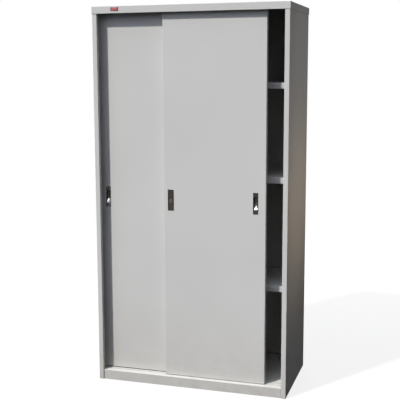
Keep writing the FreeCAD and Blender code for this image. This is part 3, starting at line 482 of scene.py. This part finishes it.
# %% [markdown]
# ## Red enamel
# The small plate on the cap is bare: a drop of red epoxy enamel in a thin dark frame. The drop is
# glossy, and is painted darker towards its rim as shade round the edge of the dome. Its points carry
# how far out they lie as an attribute, and the colour follows that. Tiny waves of a few millimetres
# stay in the surface after it has flowed out, and cleaning leaves some of them duller than others.

# %% Pour the enamel
RIM_SHADE_FROM, RIM_SHADE_SHARE = 0.55, 0.9      # the painted rim shade begins there, and reaches this share
ENAMEL_BLUR = (0.16, 0.28)

red_enamel, tree = empty_material("red_enamel")
place = add(tree, "ShaderNodeTexCoord").outputs["Object"]
waves = noise(tree, place, 240.0, 2.0)
thin_red = mix(tree, waves, paint("#A03634"), paint("#B24848"))
to_rim = add(tree, "ShaderNodeAttribute", attribute_name="rim_share").outputs["Fac"]
# Painted shade: the enamel is mixed darker towards its rim.
rim_shade = spread(tree, to_rim, RIM_SHADE_FROM, 1.0, 0.0, RIM_SHADE_SHARE)
enamel_shader = add(tree, "ShaderNodeBsdfPrincipled", {
    "Base Color": mix(tree, rim_shade, thin_red, paint("#6E1D20")), "IOR": 1.55,
    "Roughness": spread(tree, waves, *NOISE_RANGE, *ENAMEL_BLUR),
    "Coat Weight": 0.3, "Coat Roughness": 0.08, "Normal": bump(tree, 0.05, 0.0002, waves)})
add(tree, "ShaderNodeOutputMaterial", {"Surface": enamel_shader.outputs[0]})

# %% [markdown]
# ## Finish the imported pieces
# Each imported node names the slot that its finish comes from. The meshes stay as they are, and only
# the material in their first slot changes.

# %% Paint and plate every node
finishes = {
    "powder_coat": powder_coat, "zinc_steel": zinc_plate, "dark_nickel": black_nickel,
    "lock_metal": satin_nickel, "nylon": natural_nylon, "rubber": black_rubber,
    "badge_red": red_enamel,
}
for row in frame["record"]["subparts"]:
    frame["nodes"][row["node"]].material_slots[0].material = finishes[row["material_slot"]]


def dress(piece, body, slot_name, finish, *nodes):
    """Gives a new piece its finish, its body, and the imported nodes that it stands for."""
    piece.data.materials.append(finish)
    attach(piece, body)
    if nodes:
        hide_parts(*nodes)


# %% [markdown]
# ## Outlines seen from the front
# Plates and recesses are stacks of closed outlines, each at its own depth. An outline is a
# rectangle with round corners. Its lower corners may be rounder than its upper ones, which is all
# it takes to turn the foot of a recess into a scoop.

# %% Outlines and stacks of outlines
MM = 0.001
CORNER_STEPS = 9
EDGE_STEPS = 5


def outline(half_wide, half_tall, corner, low_corner=None):
    """Points (x, z) round a rectangle, anticlockwise from its right side. Each corner is a quarter
    circle, its centre plus corner * (cos a, sin a)."""
    low_corner = corner if low_corner is None else low_corner
    radius = np.repeat([corner, corner, low_corner, low_corner], CORNER_STEPS)
    side = np.repeat([1, -1, -1, 1], CORNER_STEPS)
    rise = np.repeat([1, 1, -1, -1], CORNER_STEPS)
    turns = np.linspace(0, math.pi / 2, CORNER_STEPS) + np.arange(4)[:, None] * math.pi / 2
    x = side * (half_wide - radius) + radius * np.cos(turns.ravel())
    z = rise * (half_tall - radius) + radius * np.sin(turns.ravel())
    return np.stack([x, z], axis=-1)


def rolled_edge(radius):
    """(inset, depth) steps of a quarter round, from the side of a plate to its face."""
    angle = np.linspace(0, math.pi / 2, EDGE_STEPS)
    return np.stack([radius * (1 - np.cos(angle)), radius * (1 - np.sin(angle))], axis=-1)


def stack(outlines, depths, middle_x, middles_z):
    """Grid of points: each outline moved to its depth (y) and to its own middle."""
    outlines, depths = np.asarray(outlines), np.asarray(depths)
    middles = np.broadcast_to(np.asarray(middles_z, float), depths.shape)
    grid = np.empty((*outlines.shape[:2], 3))
    grid[..., 0] = middle_x + outlines[..., 0]
    grid[..., 1] = depths[:, None]
    grid[..., 2] = middles[:, None] + outlines[..., 1]
    return grid


print("points in an outline:", len(outline(12.5 * MM, 50.5 * MM, 2 * MM)))

# %% [markdown]
# ## Finger pulls
# Each door has a pressed cup with a face plate 25 mm wide and 101 mm tall. The recess is 17 mm
# wide and 62 mm tall, and its foot slopes out over 25 mm, so that a finger slides in and pulls
# sideways or up. The recess could be cut with a boolean, but the stack of outlines gives rolled
# edges and a rounded scoop without stray faces. Wear and a painted glint are one number per point,
# highest in the middle of the slope, where a fingertip rests. The rear door's pull gets more of it,
# on its plate as well, as painted light that brightens it in the shade of the left post.

# %% Press the finger pulls
RECESS_WIDTH = 17 * MM
RECESS_HEIGHT = 62 * MM
RECESS_SLOPE = 25 * MM
RECESS_CORNER = 1 * MM
SCOOP_CORNER = RECESS_WIDTH / 2 - 0.2 * MM   # lower corners at the back, nearly half a circle
PLATE_CORNER = 2 * MM
PLATE_ROUND = 0.35 * MM
LIP_ROUND = 0.5 * MM
CUP_WALL = 1 * MM
SLOPE_STEPS = 16
SCOOP_POWER = 1.45                       # 1 is a flat slope, and more hollows it out
WEAR_AND_GLINT_DEPTH_POWER = 0.82                  # less than 1 brings the wear and painted glint forward, out of the depth
WEAR_AND_GLINT_FADE = 0.8                          # more than 1 makes the worn and glinting middle smaller
PULL_WEAR_AND_GLINT = {                            # `use` (slope wear and painted glint), `side_power` and painted plate light of finger_pull
    "front_door": (0.46, 1.8, 0.0),
    "rear_door": (1.1, 1.1, 0.25),
}


def finger_pull(name, node, door, use, side_power, plate_painted_light):
    """Cup, plate and recess of one pull as a single closed skin, from the back of the cup outwards,
    over the plate and down into the recess. The foot of the recess rises by slope * s ** power at
    the share s of its depth, while its lower corners grow to half a circle. `use` scales the bright
    nickel of the slope, partly wear and partly a painted glint, a `side_power` above 1 keeps it in
    the middle, and the last argument is painted light, a brightening of the plate round the recess."""
    low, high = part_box(node)
    half_wide, half_tall = (high.x - low.x) / 2, (high.z - low.z) / 2
    middle_x, middle_z = (low.x + high.x) / 2, (low.z + high.z) / 2
    face, sheet_face = low.y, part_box(door)[0].y
    floor_depth = high.y - CUP_WALL
    cup = (RECESS_WIDTH / 2 + CUP_WALL, RECESS_HEIGHT / 2 + CUP_WALL, CUP_WALL)
    outlines = [outline(*cup), outline(*cup), outline(half_wide, half_tall, PLATE_CORNER)]
    depths = [high.y, sheet_face, sheet_face]
    for inset, depth in [*rolled_edge(PLATE_ROUND), (PLATE_ROUND * 2, 0.0)]:
        outlines.append(outline(half_wide - inset, half_tall - inset, PLATE_CORNER - inset))
        depths.append(face + depth)
    for inset, depth in rolled_edge(LIP_ROUND)[::-1]:
        rim = (RECESS_WIDTH / 2 + inset, RECESS_HEIGHT / 2 + inset, RECESS_CORNER + inset)
        outlines.append(outline(*rim))
        depths.append(face + depth)
    rows_before = len(outlines)
    middles = [middle_z] * rows_before
    shares = np.linspace(0, 1, SLOPE_STEPS + 1)[1:]
    top = middle_z + RECESS_HEIGHT / 2
    for share in shares:
        foot = middle_z - RECESS_HEIGHT / 2 + RECESS_SLOPE * share ** SCOOP_POWER
        low_corner = RECESS_CORNER + (SCOOP_CORNER - RECESS_CORNER) * share
        outlines.append(outline(RECESS_WIDTH / 2, (top - foot) / 2, RECESS_CORNER, low_corner))
        depths.append(face + LIP_ROUND + (floor_depth - face - LIP_ROUND) * share)
        middles.append((top + foot) / 2)
    grid = stack(outlines, depths, middle_x, middles)
    piece = surface(name, grid[None])
    descent = np.linspace(0, 1, CORNER_STEPS)
    lowness = np.concatenate([descent * 0, descent * 0, descent, 1 - descent])
    # Per point: bright nickel of wear and painted glint on the slope, and painted light on the rear
    # plate.
    wear = np.full(grid.shape[:2], plate_painted_light)
    wear_and_glint_along = np.sin(math.pi * shares ** WEAR_AND_GLINT_DEPTH_POWER) ** WEAR_AND_GLINT_FADE
    wear[rows_before:] = use * wear_and_glint_along[:, None] * lowness ** side_power
    values = np.zeros(len(piece.data.vertices))
    values[:wear.size] = wear.ravel()
    piece.data.attributes.new("finger_wear_and_glint", "FLOAT", "POINT").data.foreach_set("value", values)
    return piece


for door, wear in PULL_WEAR_AND_GLINT.items():
    pull = door + "_pull"
    dress(finger_pull(pull + "_cup", pull, door, *wear), door, "dark_nickel", black_nickel, pull)

# %% [markdown]
# ## Black strips for the shade below the doors
# The doors stand 2 mm above their track. A thin black rubber strip round the foot of each front
# sheet is painted shade: it stands for the dark gap below the door. The strip of the rear door laps
# further over the sheet and hangs lower, for the deeper shade below that door. The section is the
# same all along a strip, so two rows of points are enough, and `surface` closes both ends.

# %% Glue the strips
STRIP_LIP, STRIP_SHEET, STRIP_END = 0.4 * MM, 1.0 * MM, 1.0 * MM
STRIP_ROUND, GLUE = 0.5 * MM, 0.02 * MM
SHADE_STRIP_SIZES = {                          # how far it laps over the sheet, and hangs below it
    "front_door": (0.3 * MM, 1.2 * MM),
    "rear_door": (1.6 * MM, 1.7 * MM),
}


def gap_shade_strip(name, door, lap, foot):
    """Strip round the lower edge of a door's front sheet. Its section is an L: a lip in front that
    laps over the sheet, and a foot below it."""
    low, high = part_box(door)
    rounding = [(inset - STRIP_LIP, depth - foot) for inset, depth in rolled_edge(STRIP_ROUND)]
    section = np.array([
        (-STRIP_LIP, lap), *rounding, (STRIP_SHEET, -foot), (STRIP_SHEET, -GLUE),
        (-GLUE, -GLUE), (-GLUE, lap)])
    grid = np.empty((2, len(section), 3))
    grid[..., 0] = np.array([low.x + STRIP_END, high.x - STRIP_END])[:, None]
    grid[..., 1:] = section + (low.y, low.z)
    return surface(name, grid[None])


# Painted shade: a black strip along the foot of each door stands for the dark gap below it.
for door, sizes in SHADE_STRIP_SIZES.items():
    dress(gap_shade_strip(door + "_gap_shade_strip", door, *sizes), door, "rubber", black_rubber)

# %% [markdown]
# ## Lock plate
# The lock sits in a plain plate 30 mm wide, of the same height as the pulls. A round hole in a
# rectangle is easy once both edges are written the same way: as the distance from the middle of
# the lock at each angle. The plate is then a ring of points whose outer distance follows the
# rectangle and whose inner distance is constant.

# %% Stamp the lock plate
HOLE_RADIUS, HOLE_ROUND = 8.05 * MM, 0.2 * MM
RING_STEPS = 144
SIDE_PIECES = 24                         # points on each side of an outline that is read by angle
ANGLE_DIGITS = 5                         # angles that agree to this many digits count as one


def reach(points, angles):
    """Distance from the origin to a closed outline of (x, z) points at each angle."""
    sides = np.roll(points, -1, axis=0) - points
    shares = np.linspace(0, 1, SIDE_PIECES, endpoint=False)
    dense = np.concatenate([points + sides * share for share in shares])
    turn = np.arctan2(dense[:, 1], dense[:, 0]) % (2 * math.pi)
    order = np.argsort(turn)
    return np.interp(angles, turn[order], np.hypot(*dense.T)[order], period=2 * math.pi)


def around(distances, depths, angles, middle):
    """Grid of points at distances[row, column] from the point `middle`, each row at its depth."""
    grid = np.empty((*distances.shape, 3))
    grid[..., 0] = middle.x + distances * np.cos(angles)
    grid[..., 1] = np.asarray(depths)[:, None]
    grid[..., 2] = middle.z + distances * np.sin(angles)
    return grid


low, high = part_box("lock_plate")
half_wide, half_tall = (high.x - low.x) / 2, (high.z - low.z) / 2
plate_middle = (low.z + high.z) / 2 - lock_axis.z
even_angles = np.linspace(0, 2 * math.pi, RING_STEPS, endpoint=False)
plate_outline = outline(half_wide, half_tall, PLATE_CORNER) + (0, plate_middle)
corner_angles = np.arctan2(plate_outline[:, 1], plate_outline[:, 0]) % (2 * math.pi)
plate_angles = np.unique(np.round(np.concatenate([even_angles, corner_angles]), ANGLE_DIGITS))
rows, depths = [np.full(plate_angles.size, HOLE_RADIUS)], [high.y]
for inset, depth in [(0.0, high.y - low.y), *rolled_edge(PLATE_ROUND), (PLATE_ROUND * 2, 0.0)]:
    ring = outline(half_wide - inset, half_tall - inset, PLATE_CORNER - inset)
    rows.append(reach(ring + (0, plate_middle), plate_angles))
    depths.append(low.y + depth)
for inset, depth in rolled_edge(HOLE_ROUND)[::-1]:
    rows.append(np.full(plate_angles.size, HOLE_RADIUS + inset))
    depths.append(low.y + depth)
plate_grid = around(np.array(rows), depths, plate_angles, lock_axis)
lock_rose = surface("lock_plate_stamped", plate_grid[None], round_rows=True)
dress(lock_rose, "front_door", "dark_nickel", black_nickel, "lock_plate")

# %% [markdown]
# ## Lock collar and plug
# The housing of the lock is a turned part. A profile of distances and depths, carried round the
# axis, gives its collar with a rolled rim, the flange behind the door sheet and the barrel. The
# plug is turned too, apart from its key slot. The slot is one more outline written as a distance
# at each angle, so the face of the plug runs from the slot to its rounded rim.

# %% Turn the collar
low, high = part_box("lock_body")
BORE, COLLAR, FLANGE, BARREL = 6.05 * MM, 8 * MM, 12 * MM, 9 * MM
COLLAR_ROUND, BORE_ROUND = 0.5 * MM, 0.25 * MM
SHEET_BACK, FLANGE_BACK = 1 * MM, 3 * MM
sheet_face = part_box("front_door")[0].y
collar_rim = [(COLLAR - inset, low.y + depth) for inset, depth in rolled_edge(COLLAR_ROUND)]
bore_rim = [(BORE + inset, low.y + depth) for inset, depth in rolled_edge(BORE_ROUND)[::-1]]
profile = np.array([
    (BORE, high.y), (BARREL, high.y), (BARREL, sheet_face + FLANGE_BACK),
    (FLANGE, sheet_face + FLANGE_BACK), (FLANGE, sheet_face + SHEET_BACK),
    (COLLAR, sheet_face + SHEET_BACK), *collar_rim, *bore_rim])
ring = np.repeat(profile[:, :1], RING_STEPS, axis=1)
collar_grid = around(ring, profile[:, 1], even_angles, lock_axis)
collar = surface("lock_collar_turned", collar_grid[None], round_rows=True)
dress(collar, "front_door", "lock_metal", satin_nickel, "lock_body")

# %% Turn the plug and cut its slot
SLOT_WIDTH, SLOT_HEIGHT, SLOT_DEPTH, SLOT_CORNER = 1.4 * MM, 7 * MM, 8 * MM, 0.3 * MM
SLOT_MOUTH = ((0.25, 0.0), (0.1, 0.08), (0.0, 0.3))     # mm worn wide by the key, at a depth in mm
PLUG_ROUND, PLUG_FLAT = 0.6 * MM, 1.2 * MM              # round of its rim, and where it has ended
SPINDLE = 3 * MM
SHOULDER = 19 * MM                       # the plug steps down to its spindle here, behind the door
low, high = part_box("lock_cylinder")
plug = (high.x - low.x) / 2
slot_edge = outline(SLOT_WIDTH / 2, SLOT_HEIGHT / 2, SLOT_CORNER)
slot_angles = np.arctan2(slot_edge[:, 1], slot_edge[:, 0]) % (2 * math.pi)
plug_angles = np.unique(np.round(np.concatenate([even_angles, slot_angles]), ANGLE_DIGITS))
slot_reach = reach(slot_edge, plug_angles)
turned = [(SPINDLE, high.y), (SPINDLE, sheet_face + SHOULDER), (plug, sheet_face + SHOULDER),
          *[(plug - inset, low.y + depth) for inset, depth in rolled_edge(PLUG_ROUND)],
          (plug - PLUG_FLAT, low.y)]
rows = [np.full(plug_angles.size, distance) for distance, _ in turned]
depths = [depth for _, depth in turned]
for widening, depth in (*np.array(SLOT_MOUTH) * MM, (0.0, SLOT_DEPTH)):
    rows.append(slot_reach + widening)
    depths.append(low.y + depth)
plug_grid = around(np.array(rows), depths, plug_angles, lock_axis)
key_plug = surface("lock_plug_turned", plug_grid[None])
dress(key_plug, "lock", "lock_metal", satin_nickel, "lock_cylinder")

# %% [markdown]
# ## Plate on the cap
# The badge is left without words. Its frame is a ring of outlines that rises and falls over a
# thin rim, and the enamel inside bulges by 0.4 mm towards its middle: its height falls with the
# square of the share of the way from the middle to the rim.

# %% Frame and enamel
RIM_WIDTH = 0.9 * MM
BADGE_CORNER = 1.2 * MM
FRAME_ROUND, FRAME_INNER_ROUND = 0.35 * MM, 0.3 * MM
ENAMEL_STEPS = 8
ENAMEL_EDGE, ENAMEL_BULGE = 0.5 * MM, 0.4 * MM          # depth at its rim, and rise to the middle
SMALLEST_SHARE = 0.06                    # of the rim, for the row round the middle
low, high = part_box("badge")
badge_middle = (low + high) / 2
half_wide, half_tall = (high.x - low.x) / 2, (high.z - low.z) / 2
outlines, depths = [outline(half_wide, half_tall, BADGE_CORNER)], [high.y]
for inset, depth in rolled_edge(FRAME_ROUND):
    outlines.append(outline(half_wide - inset, half_tall - inset, BADGE_CORNER - inset))
    depths.append(low.y + depth)
for inset, depth in rolled_edge(FRAME_INNER_ROUND)[::-1]:
    gone = RIM_WIDTH - inset
    outlines.append(outline(half_wide - gone, half_tall - gone, BADGE_CORNER - gone))
    depths.append(low.y + depth)
outlines.append(outline(half_wide - RIM_WIDTH, half_tall - RIM_WIDTH, BADGE_CORNER - RIM_WIDTH))
depths.append(high.y)
frame_grid = stack(outlines, depths, badge_middle.x, badge_middle.z)
badge_frame = surface("badge_frame", frame_grid[None], round_rows=True)
dress(badge_frame, "cabinet", "dark_nickel", black_nickel)

inner_wide, inner_tall = half_wide - RIM_WIDTH, half_tall - RIM_WIDTH
shares = np.concatenate([[1.0], np.linspace(1, SMALLEST_SHARE, ENAMEL_STEPS)])
outlines = [outline(inner_wide * share, inner_tall * share, (BADGE_CORNER - RIM_WIDTH) * share)
            for share in shares]
dome = ENAMEL_BULGE * (1 - shares[1:] ** 2)
depths = np.concatenate([[high.y], low.y + ENAMEL_EDGE - dome])
enamel_grid = stack(outlines, depths, badge_middle.x, badge_middle.z)
enamel = surface("badge_enamel", enamel_grid[None])
rim_share = np.append(np.repeat(shares, len(outlines[0])), [1.0, 0.0])   # rows, then the two poles
enamel.data.attributes.new("rim_share", "FLOAT", "POINT").data.foreach_set("value", rim_share)
dress(enamel, "cabinet", "badge_red", red_enamel, "badge")

# %% [markdown]
# ## Screws in the back
# Ten pan-head screws hold the back panel. One head is worked out as a grid and copied to all ten
# places by adding the places to it, in one array. The dome is an arc, its rim is rolled, and the
# cross recess is an outline too: seen from its middle, a cross is a distance at each angle.

# %% Drive the screws
HEAD_RADIUS, HEAD_HEIGHT, CROSS_DEPTH = 4 * MM, 1.5 * MM, 0.9 * MM
CROSS_ARM, CROSS_HALF_WIDTH, SHANK = 2.1 * MM, 0.45 * MM, 2 * MM
SCREW_ROWS, HEAD_POINTS, DOME_STEPS = 5, 48, 7
FLAT_SHARE, RIM_DROP = 0.62, 0.55        # flat middle of the dome, and how far its rim falls
ANGLE_SHIFT = 0.001                      # keeps every point off the exact middle of an arm
CROSS_ROWS = ((0.0, 1.05), (0.12 * MM, 1.0), (CROSS_DEPTH, 0.7))    # depth and share of the width
low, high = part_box("back_screws")
screw_x = np.array([low.x + HEAD_RADIUS, high.x - HEAD_RADIUS])
screw_z = np.linspace(low.z + HEAD_RADIUS, high.z - HEAD_RADIUS, SCREW_ROWS)
head_angles = np.linspace(0, 2 * math.pi, HEAD_POINTS, endpoint=False) + ANGLE_SHIFT
along, aside = np.abs(np.cos(head_angles)), np.abs(np.sin(head_angles))
longer, shorter = np.maximum(along, aside), np.minimum(along, aside)
cross = np.minimum(CROSS_ARM / longer, CROSS_HALF_WIDTH / shorter)
cross = np.maximum(cross, CROSS_HALF_WIDTH / longer)
head_back, shank_tip = high.y - HEAD_HEIGHT, low.y
arc = np.linspace(0, 1, DOME_STEPS)[::-1]
dome = HEAD_RADIUS * (FLAT_SHARE + (1 - FLAT_SHARE) * arc)
dome_rise = high.y - RIM_DROP * HEAD_HEIGHT * arc ** 2
turned = [(SHANK, shank_tip), (SHANK, head_back), (HEAD_RADIUS, head_back), *zip(dome, dome_rise)]
rows = [np.full(head_angles.size, distance) for distance, _ in turned]
depths = [depth for _, depth in turned]
for depth, share in CROSS_ROWS:
    rows.append(cross * share)
    depths.append(high.y - depth)
head = around(np.array(rows), depths, -head_angles, Vector((0, 0, 0)))
places_x, places_z = np.repeat(screw_x, SCREW_ROWS), np.tile(screw_z, 2)
spots = np.stack([places_x, np.zeros_like(places_x), places_z], axis=-1)
screws = surface("back_screws_turned", head[None] + spots[:, None, None])
dress(screws, "cabinet", "zinc_steel", zinc_plate, "back_screws")
